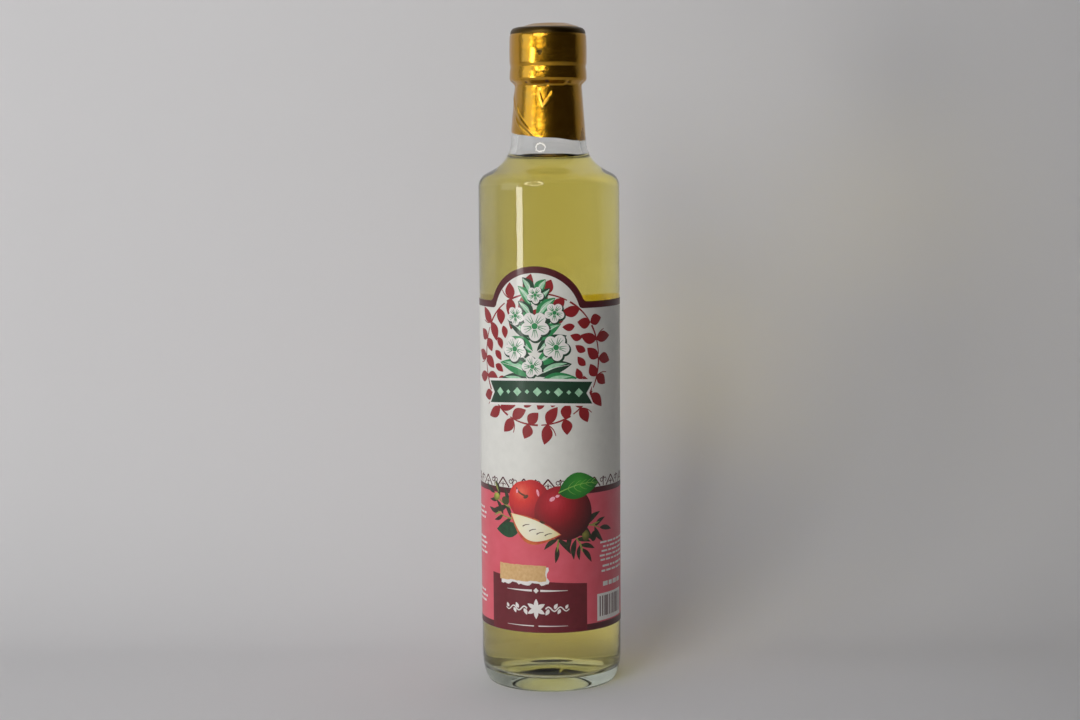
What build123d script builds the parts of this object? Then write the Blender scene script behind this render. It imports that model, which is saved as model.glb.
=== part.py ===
from build123d import *
import os
from math import asin, cos, pi, radians, sin, tan

# A full glass bottle of vinegar with a screw closure under a heat-shrunk capsule
# and one label wrapped round its body. Millimetres, +Z up, the bottle's axis on Z,
# its bearing ring on Z = 0 and the front of the bottle towards -Y.

# ---------------------------------------------------------------- driving sizes
# Glass body
body_diameter = 60.0
shoulder_height = 216.7  # where the body wall and the shoulder slope would meet
shoulder_slope = 28.0  # degrees above the horizontal
shoulder_round = 6.2  # radius between the body wall and the slope
wall = 2.6
heel_width = 3.7  # the heel is a quarter ellipse, narrow and tall
heel_height = 13.1

# Glass base
bearing_width = 2.6  # flat ring that the bottle stands on
pushup_height = 4.5
base_thickness = 5.6
inner_heel_width = 7.5
inner_heel_height = 9.0

# Glass neck
neck_diameter = 28.0  # just under the bead
neck_length = 31.8  # from where the shoulder slope and the neck would meet to the bead
neck_taper = 4.6  # degrees, widening downwards
neck_round = 14.0  # radius of the flare between the shoulder slope and the neck
bead_rise = 1.7  # height of the bead's conical underside
bead_land = 0.3
bead_shy = 0.35  # how far the bead stays inside the closure's side

# Screw closure
closure_diameter = 32.5
closure_height = 21.7
closure_wall = 1.0
closure_top = 1.6
closure_crown = 1.9  # how far the middle of the top stands above its rim
closure_round = 3.0
closure_lift = 0.3  # clearance over the bead
thread_clearance = 0.15

# Shrunk capsule
film = 0.15
capsule_drop = 21.2  # how far its sleeve reaches down the neck below the bead
capsule_skew = 7.3  # degrees that its lower edge leans
capsule_low_side = -33.0  # degrees about Z of the lowest point of that edge
vent_diameter = 2.0
vent_drop = 10.8  # below the rim of the closure
vent_turn = -12.3  # degrees about Z from the front

# Vinegar
fill_drop = 29.8  # how far its level lies below the bead

# Label
label_bottom = 26.25
label_height = 139.4
label_paper = 0.15
label_turn = -12.0  # degrees about Z from the front to the middle of the label
label_seam = 1.6  # gap between its ends, at the back
arch_radius = 22.6
arch_sink = 7.7  # how far the arch's centre lies below the top edge of the label

# ---------------------------------------------------------------- derived sizes
body_r = body_diameter / 2
bearing_r = body_r - heel_width
neck_r = neck_diameter / 2
root_r = neck_r + neck_length * tan(radians(neck_taper))
root_z = shoulder_height + (body_r - root_r) * tan(radians(shoulder_slope))
bead_bottom = root_z + neck_length
bead_top = bead_bottom + bead_rise + bead_land
closure_r = closure_diameter / 2
bead_r = closure_r - bead_shy
closure_bottom = bead_top + closure_lift
closure_rim = closure_bottom + closure_height
mouth_top = closure_rim - closure_top
finish_r = closure_r - closure_wall - thread_clearance
fill_level = bead_bottom - fill_drop
label_top = label_bottom + label_height


def neck_radius(z, inset):
    """Radius of the tapered neck at a height, inset into the glass."""
    taper = radians(neck_taper)
    return neck_r + (bead_bottom - z) * tan(taper) - inset / cos(taper)


def shoulder_line(inset, bottom, top):
    """Body wall, rounded shoulder and flared neck, parallel to the outside of the glass."""
    slope, taper = radians(shoulder_slope), radians(neck_taper)
    wall_r = body_r - inset
    corner_z = shoulder_height - inset * (1 / cos(slope) - tan(slope))
    neck_at_corner = neck_radius(corner_z, inset)
    meet_r = (neck_at_corner - wall_r * tan(slope) * tan(taper)) / (1 - tan(slope) * tan(taper))
    meet_z = corner_z + (wall_r - meet_r) * tan(slope)
    corners = [(wall_r, bottom), (wall_r, corner_z), (meet_r, meet_z), (neck_radius(top, inset), top)]
    return FilletPolyline(*corners, radius=[shoulder_round - inset, neck_round + inset])


def heel_line(outer_r, width, height, base):
    """Quarter ellipse from the flat of the base up to the wall."""
    centre = (outer_r - width, base + height)
    return EllipticalCenterArc(centre, width, height, start_angle=-90, arc_size=90)


def revolved(*lines):
    """Turn a closed outline of radius and height about the bottle's axis."""
    outline = make_face([edge for line in lines for edge in line.edges()])
    return revolve(Plane.XZ * outline, axis=Axis.Z)


def cavity():
    """Inside of the bottle from its domed floor to the mouth."""
    inner_r = body_r - wall
    floor_mid = pushup_height + base_thickness
    floor_rim = (inner_r - inner_heel_width, base_thickness)
    floor_line = Spline((0, floor_mid), floor_rim, tangents=[(1, 0), (1, 0)])
    heel = heel_line(inner_r, inner_heel_width, inner_heel_height, base_thickness)
    side = shoulder_line(wall, base_thickness + inner_heel_height, mouth_top)
    lid = Polyline((neck_radius(mouth_top, wall), mouth_top), (0, mouth_top), (0, floor_mid))
    return revolved(floor_line, heel, side, lid)


def bottle_glass():
    """Thick-based hollow bottle with a bead under its plain mouth."""
    pushup_r = bearing_r - bearing_width
    underside = Spline((0, pushup_height), (pushup_r, 0), tangents=[(1, 0), (1, -0.5)])
    bearing = Line((pushup_r, 0), (bearing_r, 0))
    heel = heel_line(body_r, heel_width, heel_height, 0)
    side = shoulder_line(0, heel_height, bead_bottom)
    mouth = Polyline(
        (neck_r, bead_bottom),
        (bead_r, bead_bottom + bead_rise),
        (bead_r, bead_top),
        (finish_r, bead_top),
        (finish_r, mouth_top),
        (0, mouth_top),
        (0, pushup_height),
    )
    return revolved(underside, bearing, heel, side, mouth) - cavity()


def vinegar():
    """Everything the bottle holds, up to its level in the flare of the neck."""
    above = Cylinder(body_r, mouth_top, align=(Align.CENTER, Align.CENTER, Align.MIN))
    return cavity() - Pos(0, 0, fill_level) * above


def closure_skin(proud):
    """Side, rounded corner and crowned top of the closure or of a film on it."""
    corner_r, corner_z = closure_r - closure_round, closure_rim - closure_round
    rim_z = closure_rim + proud
    side = Line((closure_r + proud, closure_bottom), (closure_r + proud, corner_z))
    corner = CenterArc((corner_r, corner_z), closure_round + proud, 0, 90)
    crown = Spline((corner_r, rim_z), (0, rim_z + closure_crown), tangents=[(-1, 0), (-1, 0)])
    return side, corner, crown


def closure():
    """Plain screw closure that sits on the mouth."""
    inner_r = closure_r - closure_wall
    inside = Polyline(
        (0, closure_rim + closure_crown),
        (0, mouth_top),
        (inner_r, mouth_top),
        (inner_r, closure_bottom),
        (closure_r, closure_bottom),
    )
    return revolved(*closure_skin(0), inside)


def shrunk_form(proud):
    """Solid out to a film's distance proud of the glass above its heel and of the closure."""
    axis_line = Polyline(
        (0, closure_rim + proud + closure_crown),
        (0, heel_height),
        (body_r + proud, heel_height),
    )
    shoulder = shoulder_line(-proud, heel_height, bead_bottom)
    over_bead = Polyline(
        (neck_radius(bead_bottom, -proud), bead_bottom),
        (bead_r + proud, bead_bottom + bead_rise),
        (bead_r + proud, bead_top),
        (closure_r + proud, closure_bottom),
    )
    return revolved(axis_line, shoulder, over_bead, *closure_skin(proud))


def capsule():
    """Film shrunk over closure and neck, cut off askew at its foot, with a vent hole."""
    reach = 2 * mouth_top
    below = Box(reach, reach, reach, align=(Align.CENTER, Align.CENTER, Align.MAX))
    foot = Pos(0, 0, bead_bottom - capsule_drop) * Rot(0, 0, capsule_low_side) * Rot(0, capsule_skew, 0)
    vent = Cylinder(vent_diameter / 2, closure_diameter, align=(Align.CENTER, Align.CENTER, Align.MIN))
    vent_place = Pos(0, 0, closure_rim - vent_drop) * Rot(0, 0, vent_turn) * Rot(90, 0, 0)
    return shrunk_form(film) - shrunk_form(0) - foot * below - vent_place * vent


def paper_ring(bottom, top):
    """Full ring of label paper between two heights."""
    upright = (Align.CENTER, Align.CENTER, Align.MIN)
    outside = Cylinder(body_r + label_paper, top - bottom, align=upright)
    return Pos(0, 0, bottom) * (outside - Cylinder(body_r, top - bottom, align=upright))


def arch_prism():
    """Round-topped prism out of the front, whose outline is a true circle on the unrolled paper."""
    foot = asin(arch_sink / arch_radius)
    steps = 24
    outline = []
    for step in range(steps + 1):
        angle = foot + (pi - 2 * foot) * step / steps
        across = body_r * sin(arch_radius * cos(angle) / body_r)
        outline.append((across, label_top - arch_sink + arch_radius * sin(angle)))
    face = make_face([Spline(*outline), Line(outline[-1], outline[0])])
    return extrude(Plane.XZ * face, amount=body_diameter)


def label():
    """Wrapped label with an arched middle and a narrow gap between its ends."""
    band = paper_ring(label_bottom, label_top)
    arch = paper_ring(label_top, label_top + arch_radius) & arch_prism()
    gap = Pos(0, body_r, label_bottom) * Box(label_seam, body_r, 2 * label_height + body_r)
    return Rot(0, 0, label_turn) * (band + arch - gap)


os.makedirs("parts", exist_ok=True)
for make in (bottle_glass, vinegar, closure, capsule, label):
    piece = make()
    export_step(piece, f"parts/{make.__name__}.step")
    box = piece.bounding_box()
    print(f"{make.__name__}: {piece.volume / 1000:.1f} ml, z {box.min.Z:.2f} to {box.max.Z:.2f}")
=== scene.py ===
"""Looks of a full glass vinegar bottle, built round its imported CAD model."""

import logging
import math
import random
from dataclasses import dataclass
from enum import Enum
from typing import Callable, Sequence

import bmesh
import bpy
from mathutils import Matrix, Vector, geometry, noise


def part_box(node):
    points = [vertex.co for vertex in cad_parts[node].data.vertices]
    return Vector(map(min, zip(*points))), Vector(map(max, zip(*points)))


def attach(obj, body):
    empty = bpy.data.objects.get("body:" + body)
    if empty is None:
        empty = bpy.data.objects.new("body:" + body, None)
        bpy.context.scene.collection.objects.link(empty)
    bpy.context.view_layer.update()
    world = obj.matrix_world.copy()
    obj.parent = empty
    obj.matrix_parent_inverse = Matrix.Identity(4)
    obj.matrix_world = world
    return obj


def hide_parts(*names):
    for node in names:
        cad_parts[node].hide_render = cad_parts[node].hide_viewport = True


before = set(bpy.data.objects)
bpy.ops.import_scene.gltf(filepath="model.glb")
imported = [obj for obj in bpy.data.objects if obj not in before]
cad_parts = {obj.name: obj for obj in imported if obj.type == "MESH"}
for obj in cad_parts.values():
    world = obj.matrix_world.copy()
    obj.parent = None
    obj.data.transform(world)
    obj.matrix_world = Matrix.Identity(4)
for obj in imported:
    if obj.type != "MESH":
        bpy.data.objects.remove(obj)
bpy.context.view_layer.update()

Point = tuple[float, float]
Outline = list[Point]
MM = 0.001
LOG = logging.getLogger("vinegar_bottle")


# ------------------------------------------------------------------ small tools
def linear(code: str) -> tuple[float, float, float, float]:
    """Turn an sRGB hex colour into linear RGBA.

    Args:
        code: colour such as "#C8B45A".
    Returns:
        Red, green, blue and alpha, ready for a shader socket.
    """
    channels = [int(code[i:i + 2], 16) / 255 for i in (1, 3, 5)]
    low = [c / 12.92 if c <= 0.04045 else ((c + 0.055) / 1.055) ** 2.4 for c in channels]
    return (*low, 1.0)


def add_node(tree: bpy.types.NodeTree, kind: str, inputs: dict | None = None,
             **settings: object) -> bpy.types.Node:
    """Add a shader node with its settings, values and links.

    Args:
        tree: node tree that gets the node.
        kind: Blender's name of the node.
        inputs: socket name or number to a value, or to an output socket to link.
        settings: properties of the node itself.
    Returns:
        The new node.
    """
    node = tree.nodes.new(kind)
    for name, value in settings.items():
        setattr(node, name, value)
    for key, value in (inputs or {}).items():
        if isinstance(value, bpy.types.NodeSocket):
            tree.links.new(value, node.inputs[key])
        else:
            node.inputs[key].default_value = value
    return node


def new_material(name: str) -> tuple[bpy.types.Material, bpy.types.NodeTree, bpy.types.Node]:
    """Start an empty node material.

    Args:
        name: what the material is.
    Returns:
        The material, its node tree and its output node.
    """
    material = bpy.data.materials.new(name)
    material.use_nodes = True
    tree = material.node_tree
    tree.nodes.clear()
    return material, tree, tree.nodes.new("ShaderNodeOutputMaterial")


def ramp(tree: bpy.types.NodeTree, factor: bpy.types.NodeSocket,
         stops: Sequence[tuple[float, str]]) -> bpy.types.NodeSocket:
    """Colour ramp over a factor.

    Args:
        tree: node tree that gets the ramp.
        factor: output that drives it.
        stops: positions from 0 to 1 with their sRGB colours.
    Returns:
        The ramp's colour output.
    """
    node = add_node(tree, "ShaderNodeValToRGB", {"Fac": factor})
    elements = node.color_ramp.elements
    while len(elements) < len(stops):
        elements.new(0.5)
    for element, (position, code) in zip(elements, stops):
        element.position, element.color = position, linear(code)
    return node.outputs["Color"]


def clear_body(tree: bpy.types.NodeTree, out: bpy.types.Node, surface: bpy.types.NodeSocket,
               shadow: str, depth_tint: str, depth_density: float) -> None:
    """Give a see-through finish its coloured depth and a soft coloured shadow.

    Args:
        tree: node tree of the material.
        out: its output node.
        surface: shader of the surface.
        shadow: colour that light keeps when it casts a shadow through the surface.
        depth_tint: colour that the depth leaves.
        depth_density: how fast the depth takes the rest away, per metre.
    """
    clear = add_node(tree, "ShaderNodeBsdfTransparent", {"Color": linear(shadow)})
    rays = add_node(tree, "ShaderNodeLightPath")
    mix = add_node(tree, "ShaderNodeMixShader",
                   {0: rays.outputs["Is Shadow Ray"], 1: surface, 2: clear.outputs[0]})
    depth = add_node(tree, "ShaderNodeVolumeAbsorption",
                     {"Color": linear(depth_tint), "Density": depth_density})
    tree.links.new(mix.outputs[0], out.inputs["Surface"])
    tree.links.new(depth.outputs[0], out.inputs["Volume"])


def mesh_object(name: str, points: Sequence[Sequence[float]], faces: Sequence[Sequence[int]],
                material: bpy.types.Material, sharp_degrees: float = 35.0) -> bpy.types.Object:
    """Make a smooth-shaded mesh object from points in millimetres.

    Args:
        name: piece name.
        points: corners in millimetres.
        faces: corner numbers of each face.
        material: its finish.
        sharp_degrees: angle past which an edge stays sharp.
    Returns:
        The new object, in the scene.
    """
    mesh = bpy.data.meshes.new(name)
    mesh.from_pydata([(x * MM, y * MM, z * MM) for x, y, z in points], [], faces)
    mesh.validate()
    mesh.shade_smooth()
    mesh.set_sharp_from_angle(angle=math.radians(sharp_degrees))
    mesh.materials.append(material)
    piece = bpy.data.objects.new(name, mesh)
    bpy.context.scene.collection.objects.link(piece)
    return piece


def finish_piece(piece: bpy.types.Object, slot: str, *nodes: str) -> None:
    """Ride a piece on the body, hide the CAD nodes that it stands for, and report it.

    Args:
        piece: finished object.
        slot: not used.
        nodes: CAD nodes that the piece replaces, if any.
    """
    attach(piece, "root")
    if nodes:
        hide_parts(*nodes)
    LOG.info("%s: %d faces", piece.name, len(piece.data.polygons))


def rounded_path(corners: Outline, radii: Sequence[float], step: float) -> Outline:
    """Polyline whose inner corners are rounded by arcs and whose runs are divided.

    Args:
        corners: points of radius and height.
        radii: radius at each inner corner.
        step: longest distance between neighbouring points.
    Returns:
        The divided path.
    """
    path: list[Vector] = [Vector(corners[0])]
    for before, corner, after, radius in zip(corners, corners[1:], corners[2:], radii):
        here = Vector(corner)
        back, ahead = (Vector(before) - here).normalized(), (Vector(after) - here).normalized()
        half = back.angle(ahead) / 2
        reach = radius / math.tan(half)
        centre = here + (back + ahead).normalized() * radius / math.sin(half)
        start, end = here + back * reach, here + ahead * reach
        count = max(3, int(radius * (math.pi - 2 * half) / step))
        turn = (start - centre).angle_signed(end - centre)
        for i in range(count + 1):
            path.append(centre + Matrix.Rotation(-turn * i / count, 2) @ (start - centre))
    path.append(Vector(corners[-1]))
    divided: Outline = [tuple(path[0])]
    for a, b in zip(path, path[1:]):
        parts = max(1, math.ceil((b - a).length / step))
        divided += [tuple(a.lerp(b, i / parts)) for i in range(1, parts + 1) if (b - a).length > 1e-4]
    return divided


def lathe(profile: Outline, segments: int,
          shape: Callable[[float, float, float, int], Point] | None = None) -> tuple[list, list]:
    """Turn a closed outline of radius and height about Z.

    Args:
        profile: outline; a point on the axis becomes a pole, and an outline with none closes on itself.
        segments: divisions round the axis.
        shape: takes radius, height, angle and point number, and gives the shaped radius and height.
    Returns:
        Points in millimetres and faces.
    """
    points: list[tuple[float, float, float]] = []
    rings: list[list[int]] = []
    for number, (radius, height) in enumerate(profile):
        if radius < 1e-6:
            rings.append([len(points)])
            z = shape(radius, height, 0.0, number)[1] if shape else height
            points.append((0.0, 0.0, z))
            continue
        rings.append(list(range(len(points), len(points) + segments)))
        for i in range(segments):
            angle = math.tau * i / segments
            r, z = shape(radius, height, angle, number) if shape else (radius, height)
            points.append((r * math.sin(angle), -r * math.cos(angle), z))
    faces: list[tuple[int, ...]] = []
    closed = len(rings[0]) > 1 and len(rings[-1]) > 1
    for a, b in zip(rings, rings[1:] + ([rings[0]] if closed else [])):
        for i in range(segments if len(a) + len(b) > 2 else 0):
            j = (i + 1) % segments
            if len(a) == 1:
                faces.append((a[0], b[j], b[i]))
            elif len(b) == 1:
                faces.append((a[i], a[j], b[0]))
            else:
                faces.append((a[i], a[j], b[j], b[i]))
    return points, faces


def ripple(x: float, y: float, z: float, size: float) -> float:
    """Smooth noise.

    Args:
        x, y, z: place in millimetres.
        size: distance across its bumps in millimetres.
    Returns:
        A value from about -1 to 1.
    """
    return noise.noise(Vector((x, y, z)) / size)


# ------------------------------------------------------------------ finishes
@dataclass(frozen=True)
class FlintGlass:
    """Clear container glass, mould blown and fire polished: hard reflections, a faint green in depth."""

    ior: float = 1.5
    tint: str = "#FFFFFF"
    depth_tint: str = "#C8DCC0"
    depth_density: float = 16.0
    shadow: str = "#F7F6F0"

    def material(self) -> bpy.types.Material:
        """Glass with a faint body colour and a soft coloured shadow."""
        material, tree, out = new_material("blown flint glass")
        place = add_node(tree, "ShaderNodeTexCoord").outputs["Object"]
        # Scale 55: mould waves of 18 mm.
        waves = add_node(tree, "ShaderNodeTexNoise", {"Vector": place, "Scale": 55.0, "Detail": 1.0})
        bump = add_node(tree, "ShaderNodeBump",
                        {"Height": waves.outputs["Fac"], "Strength": 0.12, "Distance": 0.001})
        glass = add_node(tree, "ShaderNodeBsdfPrincipled", {
            "Base Color": linear(self.tint), "Roughness": 0.0, "IOR": self.ior,
            "Transmission Weight": 1.0, "Normal": bump.outputs["Normal"]})
        clear_body(tree, out, glass.outputs[0], self.shadow, self.depth_tint, self.depth_density)
        return material


@dataclass(frozen=True)
class PaleVinegar:
    """Filtered fruit vinegar: water-clear, straw yellow only in depth."""

    ior: float = 1.345
    depth_tint: str = "#FEF576"
    depth_density: float = 40.0
    shadow: str = "#F4F0DC"

    def material(self) -> bpy.types.Material:
        """Clear liquid whose colour comes from the depth that light passes."""
        material, tree, out = new_material("filtered vinegar")
        place = add_node(tree, "ShaderNodeTexCoord").outputs["Object"]
        # Scale 30: drifts of haze 33 mm across.
        haze = add_node(tree, "ShaderNodeTexNoise", {"Vector": place, "Scale": 30.0, "Detail": 2.0})
        tint = ramp(tree, haze.outputs["Fac"], [(0.0, "#FFFFFF"), (1.0, "#FDFCF4")])
        liquid = add_node(tree, "ShaderNodeBsdfPrincipled", {
            "Base Color": tint, "Roughness": 0.0, "IOR": self.ior, "Transmission Weight": 1.0})
        clear_body(tree, out, liquid.outputs[0], self.shadow, self.depth_tint, self.depth_density)
        return material


@dataclass(frozen=True)
class MetallisedFilm:
    """Gold metallised shrink film: a bright yellow metal sheen that pales where the film is stretched."""

    gold: str = "#C9931F"
    stretched: str = "#BF9230"
    roughness: float = 0.2

    def material(self) -> bpy.types.Material:
        """Metal film with uneven colour, uneven gloss and fine orange peel."""
        material, tree, out = new_material("gold metallised shrink film")
        place = add_node(tree, "ShaderNodeTexCoord").outputs["Object"]
        # Scale 220: patches of 4.5 mm.
        patches = add_node(tree, "ShaderNodeTexNoise", {"Vector": place, "Scale": 220.0, "Detail": 4.0})
        colour = ramp(tree, patches.outputs["Fac"], [(0.3, self.gold), (0.75, self.stretched)])
        gloss = add_node(tree, "ShaderNodeMapRange", {
            "Value": patches.outputs["Fac"], "To Min": self.roughness - 0.06, "To Max": self.roughness + 0.1})
        # Scale 900: orange peel of 1.1 mm.
        peel = add_node(tree, "ShaderNodeTexNoise", {"Vector": place, "Scale": 900.0, "Detail": 3.0})
        bump = add_node(tree, "ShaderNodeBump",
                        {"Height": peel.outputs["Fac"], "Strength": 0.12, "Distance": 0.0004})
        film = add_node(tree, "ShaderNodeBsdfPrincipled", {
            "Base Color": colour, "Metallic": 1.0, "Roughness": gloss.outputs["Result"],
            "Coat Weight": 0.35, "Coat Roughness": 0.06, "Normal": bump.outputs["Normal"]})
        tree.links.new(film.outputs[0], out.inputs["Surface"])
        return material


@dataclass(frozen=True)
class LacqueredAluminium:
    """Drawn aluminium with dark gold lacquer: a dim brown metal where the vent hole shows it."""

    lacquer: str = "#4A3A1C"

    def material(self) -> bpy.types.Material:
        """Brushed metal under lacquer."""
        material, tree, out = new_material("lacquered drawn aluminium")
        place = add_node(tree, "ShaderNodeTexCoord").outputs["Object"]
        stretch = add_node(tree, "ShaderNodeMapping", {"Vector": place, "Scale": (1.0, 1.0, 40.0)})
        # Scale 60, 40 times finer along Z: drawing lines of 0.4 mm.
        lines = add_node(tree, "ShaderNodeTexNoise", {"Vector": stretch.outputs[0], "Scale": 60.0})
        colour = ramp(tree, lines.outputs["Fac"], [(0.3, self.lacquer), (0.7, "#5E4B26")])
        metal = add_node(tree, "ShaderNodeBsdfPrincipled",
                         {"Base Color": colour, "Metallic": 1.0, "Roughness": 0.35})
        tree.links.new(metal.outputs[0], out.inputs["Surface"])
        return material


@dataclass(frozen=True)
class LaminatedPrint:
    """Paper or offset ink under one clear laminate: flat colour with faint mottle below an even gloss."""

    name: str
    colour: str
    mottled: str
    mottle_mm: float = 2.5
    gloss: float = 0.35

    def material(self) -> bpy.types.Material:
        """Printed colour with a mottle of the stated size under a coat."""
        material, tree, out = new_material(self.name)
        place = add_node(tree, "ShaderNodeTexCoord").outputs["Object"]
        mottle = add_node(tree, "ShaderNodeTexNoise",
                          {"Vector": place, "Scale": 1 / (self.mottle_mm * MM), "Detail": 3.0})
        colour = ramp(tree, mottle.outputs["Fac"], [(0.3, self.colour), (0.75, self.mottled)])
        ink = add_node(tree, "ShaderNodeBsdfPrincipled", {
            "Base Color": colour, "Roughness": 0.5, "Coat Weight": self.gloss, "Coat Roughness": 0.1})
        tree.links.new(ink.outputs[0], out.inputs["Surface"])
        return material


@dataclass(frozen=True)
class RoundShading:
    """Offset print of a rounded thing: ring by ring from its lit spot to its dark rim, with fine streaks."""

    name: str
    lit: Point
    reach: float
    stops: tuple[tuple[float, str], ...]
    streak: float = 0.12

    def material(self) -> bpy.types.Material:
        """Shading by distance, on the flat print, from the lit spot."""
        material, tree, out = new_material(self.name)
        flat = add_node(tree, "ShaderNodeAttribute", attribute_name="print_mm").outputs["Vector"]
        away = add_node(tree, "ShaderNodeVectorMath", {0: flat, 1: (*self.lit, 0.0)}, operation="DISTANCE")
        share = add_node(tree, "ShaderNodeMath", {0: away.outputs["Value"], 1: self.reach},
                         operation="DIVIDE")
        stretch = add_node(tree, "ShaderNodeMapping", {"Vector": flat, "Scale": (1.6, 0.35, 1.0)})
        streaks = add_node(tree, "ShaderNodeTexNoise",
                           {"Vector": stretch.outputs[0], "Scale": 1.0, "Detail": 4.0})
        shift = add_node(tree, "ShaderNodeMath",
                         {0: streaks.outputs["Fac"], 1: self.streak * 2, 2: -self.streak},
                         operation="MULTIPLY_ADD")
        total = add_node(tree, "ShaderNodeMath", {0: share.outputs[0], 1: shift.outputs[0]}, operation="ADD")
        colour = ramp(tree, total.outputs[0], self.stops)
        ink = add_node(tree, "ShaderNodeBsdfPrincipled", {
            "Base Color": colour, "Roughness": 0.5, "Coat Weight": 0.35, "Coat Roughness": 0.1})
        tree.links.new(ink.outputs[0], out.inputs["Surface"])
        return material


class Ink(Enum):
    """Flat inks of the label."""

    MAROON = LaminatedPrint("maroon offset ink", "#4A0610", "#560A15")
    PINK = LaminatedPrint("rose offset ink", "#DA5563", "#E06070", 6.0)
    RED = LaminatedPrint("dark red offset ink", "#8A0A12", "#96121A")
    BOTTLE_GREEN = LaminatedPrint("bottle green offset ink", "#06331D", "#0B3F26")
    LEAF_GREEN = LaminatedPrint("leaf green offset ink", "#1D8045", "#2E9455", 1.6)
    PALE_GREEN = LaminatedPrint("pale green offset ink", "#8CC49C", "#B4DDBE", 1.4)
    WHITE = LaminatedPrint("opaque white ink", "#E6E2DE", "#EEEAE6")
    OLIVE_DARK = LaminatedPrint("dark olive offset ink", "#1C2012", "#34391C", 1.5)
    OLIVE_LIGHT = LaminatedPrint("light olive offset ink", "#7C8433", "#A3A656", 1.2)
    KRAFT = LaminatedPrint("kraft tan offset ink", "#D2A56A", "#E0BB85", 1.2)
    STEM = LaminatedPrint("stem brown offset ink", "#4A2A14", "#6B4422", 0.8)
    SHINE = LaminatedPrint("pink highlight ink", "#F08FA8", "#F8C0CC", 0.8)
    DEEP_GREEN = LaminatedPrint("deep green offset ink", "#0B3A1C", "#14502A", 1.5)
    YELLOW_GREEN = LaminatedPrint("yellow green offset ink", "#7DBB4A", "#94C95E", 1.0)
    SKIN = LaminatedPrint("wedge skin ink", "#C4202C", "#D9822E", 3.0)
    WINE = LaminatedPrint("wine offset ink", "#640A18", "#6E1020")

    def material(self) -> bpy.types.Material:
        """A material of this ink."""
        return self.value.material()


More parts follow.
